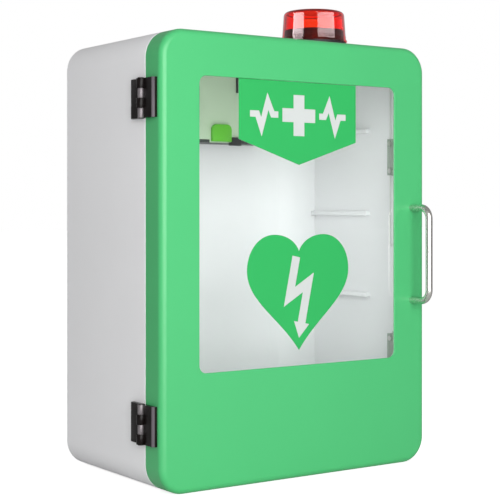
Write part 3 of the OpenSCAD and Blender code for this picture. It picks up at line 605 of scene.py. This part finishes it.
def bare_links(paint):
    """The slim body knuckles round the pin."""
    return near_axis(paint, pin_axis, LINK_R)


def painted_highlight_edge(paint):
    """Painted highlight: the lighter upright strip along the front end of the door leaf, where its
    chamfer catches the light.
    """
    return band(paint, "Y", leaf_end + 0.5 * MM, leaf_end + 3.2 * MM)


link_coat = hinge_coat("hinge_links", bare_links, 0.5, (0.22, 0.20, 0.21))
# The door leaf coat carries a painted highlight, a lighter grey strip along the leaf's front end.
edge_highlight_coat = hinge_coat("hinge_edge_highlight", painted_highlight_edge, 0.3, (0.13, 0.115, 0.13))
for level in ("upper", "lower"):
    nodes[level + "_hinge_body_leaf"].data.materials[0] = link_coat
    nodes[level + "_hinge_door_leaf"].data.materials[0] = edge_highlight_coat


# Cabinet and door skins --------------------------------------------------------------------
def outline(half, inset, y):
    return rounded_loop((0, 0), (half[0] - inset, half[1] - inset), CORNER_R - inset, y)


def window_outline(opening, out, y):
    centre, half = opening
    return rounded_loop(centre, (half[0] + out, half[1] + out), WINDOW_R + out, y)


def edge_arc(radius, steps):
    """(inward, backward) pairs of a quarter round from the side face to the front face."""
    return [
        (radius * (1 - math.cos(a)), radius * (1 - math.sin(a)))
        for a in (math.pi / 2 * s / steps for s in range(steps + 1))
    ]


door_lo, door_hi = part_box("door_panel")
door_half = (door_hi.x, door_hi.z)
pane_lo, pane_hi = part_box("window_pane")
opening = (
    ((pane_lo.x + pane_hi.x) / 2, (pane_lo.z + pane_hi.z) / 2),
    ((pane_hi.x - pane_lo.x) / 2 - PANE_LAP, (pane_hi.z - pane_lo.z) / 2 - PANE_LAP),
)


def door_skin():
    front, back = door_lo.y, door_hi.y
    lip = 0.8 * MM
    loops = [outline(door_half, SHEET_EDGE_R, back), outline(door_half, 0, back - SHEET_EDGE_R)]
    loops += [outline(door_half, i, front + d) for i, d in edge_arc(DOOR_EDGE_R, FILLET_STEPS)]
    loops += [window_outline(opening, i, front + d) for i, d in reversed(edge_arc(lip, 5))]
    loops += [
        window_outline(opening, 0, front + WINDOW_TURN),
        window_outline(opening, SHEET, front + WINDOW_TURN),
        window_outline(opening, SHEET, front + SHEET),
    ]
    inner_r = DOOR_EDGE_R - SHEET
    loops += [outline(door_half, SHEET + i, front + SHEET + d)
              for i, d in reversed(edge_arc(inner_r, FILLET_STEPS))]
    loops += [outline(door_half, SHEET, back - SHEET_EDGE_R),
              outline(door_half, SHEET - SHEET_EDGE_R, back)]
    return smooth(loft("door_skin", loops))


def shell_skin():
    lo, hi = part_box("body_shell")
    half = (hi.x, hi.z)
    back_r = 0.6 * MM
    loops = [outline(half, SHEET_EDGE_R, lo.y), outline(half, 0, lo.y + SHEET_EDGE_R)]
    loops += [outline(half, i, hi.y - d) for i, d in edge_arc(back_r, 5)]
    loops += [outline(half, SHEET, hi.y), outline(half, SHEET, lo.y + SHEET_EDGE_R),
              outline(half, SHEET - SHEET_EDGE_R, lo.y)]
    return smooth(loft("shell_skin", loops))


place(door_skin(), "door", "green_powder_coat", finishes["green_powder_coat"], "door_panel")
place(shell_skin(), "cabinet", "white_powder_coat", finishes["white_powder_coat"], "body_shell")


def seal_bulb():
    """Soft bulb seal on the front rim, with a rounded nose towards the door."""
    lo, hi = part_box("door_seal")
    half = door_half
    outer = half[0] - hi.x
    width = 6 * MM
    nose = width / 2
    loops = [outline(half, outer, hi.y)]
    for s in range(13):
        a = math.pi * s / 12
        loops.append(outline(half, outer + nose - nose * math.cos(a), lo.y + nose - nose * math.sin(a)))
    loops.append(outline(half, outer + width, hi.y))
    rim_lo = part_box("front_frame")[0]
    rim_outer, rim_inner = 5.9 * MM, 7.3 * MM
    loops += [outline(half, rim_inner, hi.y), outline(half, rim_inner, rim_lo.y - 0.1 * MM),
              outline(half, rim_outer, rim_lo.y - 0.1 * MM), outline(half, rim_outer, hi.y)]
    return smooth(loft("seal_bulb", loops))


place(seal_bulb(), "cabinet", "seal_rubber", finishes["seal_rubber"], "door_seal")


# Handle ------------------------------------------------------------------------------------
def handle_rod():
    lo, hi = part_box("handle")
    x = (lo.x + hi.x) / 2
    radius = (hi.x - lo.x) / 2
    grip_y = lo.y + radius
    top, bottom = hi.z - radius, lo.z + radius
    corners = [Vector((x, hi.y, top)), Vector((x, grip_y, top)),
               Vector((x, grip_y, bottom)), Vector((x, hi.y, bottom))]
    return smooth(tube("handle_rod", rounded_path(corners, HANDLE_BEND, 16), radius, 40), 50)


place(handle_rod(), "door", "stainless", finishes["stainless"], "handle")


# Cables ------------------------------------------------------------------------------------
def beacon_lead():
    lo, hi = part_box("beacon_cable")
    radius = 2 * MM
    x0, x1 = lo.x + radius, hi.x - radius
    y0, y1 = lo.y + radius, hi.y - radius
    run_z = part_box("beacon_nuts")[0].z - 1.4 * MM
    corners = [Vector((x1, y0, hi.z)), Vector((x1, y0, run_z)), Vector((x1, y1, run_z)),
               Vector((x0, y1, run_z)), Vector((x0, y1, lo.z))]
    return smooth(tube("beacon_lead", rounded_path(corners, 2.2 * MM, 8), radius, 20), 50)


def sensor_lead():
    lo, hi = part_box("sensor_cable")
    radius = 1 * MM
    x0, x1 = lo.x, hi.x - radius
    y_up, y_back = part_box("catch_housings")[1].y + 4 * MM, hi.y - radius
    z0, z1 = lo.z + radius, hi.z - radius
    corners = [Vector((x1, lo.y, z0)), Vector((x1, y_up, z0)), Vector((x1, y_up, z1)),
               Vector((x1, y_back, z1)), Vector((x0, y_back, z1))]
    return smooth(tube("sensor_lead", rounded_path(corners, 2.4 * MM, 8), radius, 20), 50)


place(beacon_lead(), "cabinet", "black_plastic", finishes["black_plastic"], "beacon_cable")
place(sensor_lead(), "cabinet", "white_plastic", finishes["white_plastic"], "sensor_cable")


# Beacon ------------------------------------------------------------------------------------
def lens_dome():
    lo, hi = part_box("beacon_lens")
    centre = ((lo.x + hi.x) / 2, (lo.y + hi.y) / 2, lo.z)
    height = hi.z - lo.z
    flange_r = (hi.x - lo.x) / 2
    foot_r = flange_r - LENS_FLANGE
    top_r = foot_r - LENS_TAPER
    shoulder = LENS_SHOULDER

    def wall_radius(z):
        return foot_r + (top_r - foot_r) * z / (height - shoulder)

    outer = [(flange_r - 0.4 * MM, 0), (flange_r, 0.4 * MM), (flange_r, 1.5 * MM),
             (flange_r - 0.5 * MM, 2.0 * MM), (wall_radius(2.4 * MM), 2.4 * MM)]
    for ridge_z in (3.6 * MM, 5.8 * MM):
        for dz, dr in ((-0.6, 0), (-0.25, 0.35), (0.25, 0.35), (0.6, 0)):
            z = ridge_z + dz * MM
            outer.append((wall_radius(z) + dr * MM, z))
    for s in range(11):
        a = math.pi / 2 * s / 10
        outer.append((top_r - shoulder + shoulder * math.cos(a),
                      height - shoulder + shoulder * math.sin(a)))
    outer.append((0.05 * MM, height))
    ceiling = height - LENS_ROOF
    inner = [(0.05 * MM, ceiling), (top_r - shoulder - 1.5 * MM, ceiling)]
    inner_shoulder = shoulder - LENS_WALL
    for s in range(11):
        a = math.pi / 2 * (1 - s / 10)
        inner.append((top_r - shoulder + inner_shoulder * math.cos(a),
                      height - shoulder + inner_shoulder * math.sin(a)))
    inner.append((foot_r - LENS_WALL, 0))
    return smooth(revolve("lens_dome", outer + inner, centre), 40)


lens = place(lens_dome(), "cabinet", "red_lens", finishes["red_lens"], "beacon_lens")


# Decals ------------------------------------------------------------------------------------
def bezier(p0, p1, p2, p3, steps=24):
    points = []
    for s in range(steps):
        t = s / steps
        u = 1 - t
        points.append(tuple(
            u ** 3 * a + 3 * u * u * t * b + 3 * u * t * t * c + t ** 3 * d
            for a, b, c, d in zip(p0, p1, p2, p3)
        ))
    return points


def heart_outline():
    """Two round lobes that run down to a point, in metres, from the CAD film's box."""
    lo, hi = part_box("heart_decal")
    cx = (lo.x + hi.x) / 2
    half = (hi.x - lo.x) / 2
    top, tip = hi.z, lo.z
    tall = top - tip
    cleft = (0, top - 0.146 * tall)
    lobe = (0.485 * half, top)
    side = (half, top - 0.305 * tall)
    point = (0, tip)
    right = bezier(cleft, (0.06 * half, top - 0.06 * tall), (0.25 * half, top), lobe)
    right += bezier(lobe, (0.78 * half, top), (half, top - 0.135 * tall), side)
    right += bezier(side, (half, top - 0.56 * tall), (0.36 * half, top - 0.72 * tall), point)
    left = [(-x, z) for x, z in reversed(right[1:])]
    return [(cx + x, z) for x, z in right + [point] + left]


def bolt_outline():
    """Lightning arrow: two slanted legs, a rising step between them and a head, as in the CAD."""
    lo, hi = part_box("heart_decal")
    half = (hi.x - lo.x) / 2
    width, leg, rise, head = 0.155 * half, 0.65 * half, 0.11 * half, 0.25 * half
    slant = math.radians(12)
    down = Vector((-math.sin(slant), -math.cos(slant)))
    beside = Vector((math.cos(slant), -math.sin(slant)))
    side = width / 2 * beside
    knee = Vector((-(leg + head) * math.sin(slant), -rise))
    top = knee - leg * down
    across = -knee.normalized()
    corner = width / 2 / math.sin(across.angle(-down) / 2) * (across - down).normalized()
    points = [top + side, top - side, knee - corner, -knee - corner, -top - side,
              -top - width * beside, -top + head * down, -top + width * beside,
              -top + side, corner - knee, knee + corner]
    centre = Vector(((lo.x + hi.x) / 2, lo.z + 0.96 * half))
    return [tuple(centre + point) for point in points]


def cross_outline(centre, span):
    """Plain first-aid cross."""
    a, b = span / 2, span / 6
    corners = [(b, a), (-b, a), (-b, b), (-a, b), (-a, -b), (-b, -b),
               (-b, -a), (b, -a), (b, -b), (a, -b), (a, b), (b, b)]
    return [(centre[0] + x, centre[1] + z) for x, z in corners]


def stroke(points, width):
    """Outline of a line of constant width along points, with mitred corners."""
    sides = []
    for i, (x, z) in enumerate(points):
        normals = []
        for j in (i - 1, i):
            if 0 <= j < len(points) - 1:
                dx, dz = points[j + 1][0] - points[j][0], points[j + 1][1] - points[j][1]
                length = math.hypot(dx, dz)
                normals.append((-dz / length, dx / length))
        nx = sum(n[0] for n in normals) / len(normals)
        nz = sum(n[1] for n in normals) / len(normals)
        grow = width / 2 / (nx * nx + nz * nz)
        sides.append(((x + nx * grow, z + nz * grow), (x - nx * grow, z - nz * grow)))
    return [s[0] for s in sides] + [s[1] for s in reversed(sides)]


def pulse_outline(side, level):
    """Heartbeat line beside the cross; side is -1 or 1."""
    beat = [(26, 0), (33, 0), (39, 13), (47, -13), (52, 0), (61, 0)]
    return stroke([(sign_x + side * x * MM, level + z * MM) for x, z in beat], PULSE_W)


def banner_outline():
    lo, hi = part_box("banner_decal")
    shoulder = lo.z + 0.29 * (hi.z - lo.z)
    middle = (lo.x + hi.x) / 2
    return [(lo.x, hi.z), (lo.x, shoulder), (middle, lo.z), (hi.x, shoulder), (hi.x, hi.z)]


banner_lo, banner_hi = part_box("banner_decal")
sign_x = (banner_lo.x + banner_hi.x) / 2
pane_front = pane_lo.y
film_back = pane_front - VINYL_T
film_front = film_back - VINYL_T
banner_level = banner_hi.z - CROSS_DROP
banner_holes = [cross_outline((sign_x, banner_level), CROSS_SPAN)]
banner_holes += [pulse_outline(side, banner_level) for side in (-1, 1)]
place(film("banner_white", [banner_outline()], film_back, pane_front - 0.02 * MM),
      "door", "white_vinyl", finishes["white_vinyl"], "banner_backing")
place(film("banner_film", [banner_outline()] + banner_holes, film_front, film_back - 0.01 * MM),
      "door", "green_vinyl", finishes["green_vinyl"], "banner_decal")
place(film("heart_white", [heart_outline()], film_back, pane_front - 0.02 * MM),
      "door", "white_vinyl", finishes["white_vinyl"], "heart_backing")
place(film("heart_film", [heart_outline(), bolt_outline()], film_front, film_back - 0.01 * MM),
      "door", "green_vinyl", finishes["green_vinyl"], "heart_decal")


# Stage, light and camera -------------------------------------------------------------------
EYE = (-0.8109, -1.28189, 0.05299)
EYE_TURN = -34.54
LENS_MM = 95.14
LENS_SHIFT = -0.08706
LAMP_DISTANCE = 1.6
LAMP_HEIGHT = 0.2


def for_camera(tree, to_camera, to_light):
    """Value that is one thing to the camera and another to every other ray."""
    path = tree.nodes.new("ShaderNodeLightPath")
    value = tree.nodes.new("ShaderNodeMapRange")
    value.inputs["To Min"].default_value = to_light
    value.inputs["To Max"].default_value = to_camera
    tree.links.new(path.outputs["Is Camera Ray"], value.inputs["Value"])
    return value.outputs["Result"]


def floor():
    """Pale floor that runs out into the white of the backdrop."""
    paint = Paint("floor_pale", (0.70, 0.70, 0.70), 0.8)
    paint.tint(paint.noise(3, 2), (0.69, 0.69, 0.69), (0.71, 0.71, 0.71))
    paint.shader.inputs["Emission Color"].default_value = (1, 1, 1, 1)
    paint.join(for_camera(paint.tree, 0.8, 0.0), paint.shader.inputs["Emission Strength"])
    level = cad_bounds[0].z - 0.4 * MM
    reach = 12
    piece = mesh_object("floor", [(-reach, -reach, level), (reach, -reach, level),
                                  (reach, reach, level), (-reach, reach, level)], [(0, 1, 2, 3)])
    piece.data.materials.append(paint.material)


def world():
    """White backdrop that lights the object only softly."""
    sky = bpy.data.worlds.new("studio")
    scene.world = sky
    sky.use_nodes = True
    background = sky.node_tree.nodes["Background"]
    background.inputs["Color"].default_value = (1, 1, 1, 1)
    strength = for_camera(sky.node_tree, 1.0, AMBIENT)
    sky.node_tree.links.new(strength, background.inputs["Strength"])


def panel_light(name, place_at, aim_at, width, tall, radiance):
    light = bpy.data.lights.new(name, "AREA")
    light.shape = "RECTANGLE"
    light.size = width
    light.size_y = tall
    light.energy = radiance * math.pi * width * tall
    lamp = bpy.data.objects.new(name, light)
    scene.collection.objects.link(lamp)
    lamp.location = place_at
    lamp.rotation_euler = (aim_at - place_at).to_track_quat("-Z", "Y").to_euler()
    return lamp


def softbox(name, azimuth, height, distance, width, tall, radiance):
    """Area light; azimuth 0 is in front of the door and 90 on the hinge side."""
    a = math.radians(azimuth)
    place_at = Vector((-math.sin(a) * distance, -math.cos(a) * distance, height))
    return panel_light(name, place_at, Vector((0, -0.1, 0.02)), width, tall, radiance)


def link_light(lamp, piece, state):
    """Keeps a lamp's light to a piece (INCLUDE) or away from it (EXCLUDE)."""
    group = bpy.data.collections.new(lamp.name + "_pieces")
    group.objects.link(piece)
    group.collection_objects[0].light_linking.link_state = state
    lamp.light_linking.receiver_collection = group


def window_fill(radiance):
    """Soft light through the window on to the inside of the cabinet."""
    place_at = Vector((opening[0][0], pane_hi.y + 6 * MM, opening[0][1]))
    lamp = panel_light("window_fill", place_at, place_at + Vector((0, 1, 0)),
                       2 * opening[1][0], 2 * opening[1][1], radiance)
    lamp.visible_camera = False
    lamp.visible_glossy = False


def camera():
    """Eye-level view from the hinge side; the lens shift keeps the uprights parallel."""
    data = bpy.data.cameras.new("camera")
    data.sensor_width = 36
    data.lens = LENS_MM
    data.shift_y = LENS_SHIFT
    eye = bpy.data.objects.new("camera", data)
    scene.collection.objects.link(eye)
    eye.location = EYE
    eye.rotation_euler = (math.radians(90), 0, math.radians(EYE_TURN))
    scene.camera = eye


floor()
world()
key = softbox("key", 20, LAMP_HEIGHT, LAMP_DISTANCE, 1.5, 1.5, 5.15)
softbox("side", 106, LAMP_HEIGHT, LAMP_DISTANCE, 1.4, 1.8, 0.05)
window_fill(0.85)
side_card = softbox("lens_side_card", 95, 0.45, LAMP_DISTANCE, 1.36, 1.0, 13.0)
front_card = softbox("lens_front_card", -12, 0.75, LAMP_DISTANCE, 2.0, 0.6, 9.0)
link_light(key, lens, "EXCLUDE")
link_light(side_card, lens, "INCLUDE")
link_light(front_card, lens, "INCLUDE")
camera()
scene.view_settings.view_transform = "Standard"
